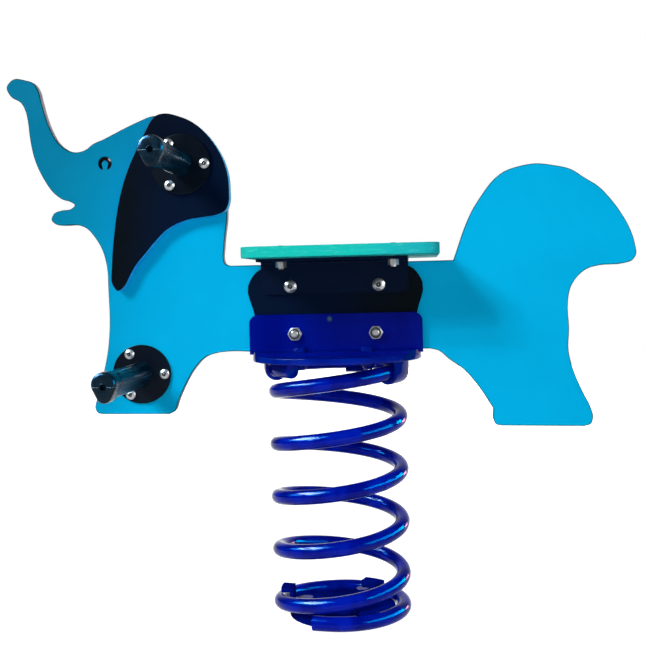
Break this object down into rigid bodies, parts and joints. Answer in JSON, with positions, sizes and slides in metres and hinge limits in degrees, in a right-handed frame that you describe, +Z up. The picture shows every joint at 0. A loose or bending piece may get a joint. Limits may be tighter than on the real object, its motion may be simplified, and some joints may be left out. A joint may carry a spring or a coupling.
{
  "type": "spring rider",
  "caption": "Playground spring rider: a flat elephant board with ears, seat, hand grips and foot rests, bolted to a round plate on a coil spring that rocks and sways over its ground plate.",
  "frame": {"origin": "on the spring's axis, at ground level under the ground plate", "axes": "+Z up along the spring, -X towards the elephant's head, -Y towards the side with the button heads"},
  "size_m": [0.8553, 0.38, 0.7507],
  "materials": {
    "panel_board": "satin board, cyan",
    "black_board": "satin board, black",
    "seat_board": "fine grained board, teal",
    "grip_rubber": "moulded, gloss black",
    "black_steel": "powder coat, black",
    "blue_steel": "gloss paint, deep blue",
    "stainless": "turned and polished"
  },
  "bodies": {
    "ground": {"ground_plate": "blue_steel", "ground_clamp_right": "blue_steel", "ground_clamp_left": "blue_steel", "ground_clamp_front": "blue_steel", "ground_clamp_bolts": "blue_steel"},
    "spring": {"coil_spring": "blue_steel"},
    "rider": {"top_plate": "blue_steel", "spring_hook_right": "blue_steel", "spring_hook_rear": "blue_steel", "spring_hook_left": "blue_steel", "spring_bracket_near": "blue_steel", "spring_bracket_far": "blue_steel", "bracket_plate_bolts": "blue_steel", "bracket_plate_nuts": "blue_steel", "lower_panel_bolts": "stainless", "lower_panel_nuts": "stainless", "body_panel": "panel_board", "reinforcing_plate_near": "black_board", "reinforcing_plate_far": "black_board", "ear_near": "black_board", "ear_far": "black_board", "seat_bracket_near": "black_steel", "seat_bracket_far": "black_steel", "upper_panel_bolts": "stainless", "upper_panel_nuts": "stainless", "seat_board": "seat_board", "seat_bolts": "stainless", "seat_nuts": "stainless", "hand_flange_near": "black_steel", "hand_flange_far": "black_steel", "hand_grip_near": "grip_rubber", "hand_grip_far": "grip_rubber", "hand_flange_bolts": "stainless", "hand_flange_nuts": "stainless", "foot_flange_near": "black_steel", "foot_flange_far": "black_steel", "foot_grip_near": "grip_rubber", "foot_grip_far": "grip_rubber", "foot_flange_bolts": "stainless", "foot_flange_nuts": "stainless"}
  },
  "joints": [
    {"name": "rock", "type": "hinge", "parent": "ground", "child": "spring", "pos_m": [0, 0, 0.11], "axis": [0, 1, 0], "range_deg": [-20, 20], "stiffness_Nm_per_rad": 584, "deforming": ["coil_spring"]},
    {"name": "sway", "type": "hinge", "parent": "spring", "child": "rider", "pos_m": [0, 0, 0.25], "axis": [1, 0, 0], "range_deg": [-15, 15], "stiffness_Nm_per_rad": 584, "deforming": ["coil_spring"]}
  ]
}
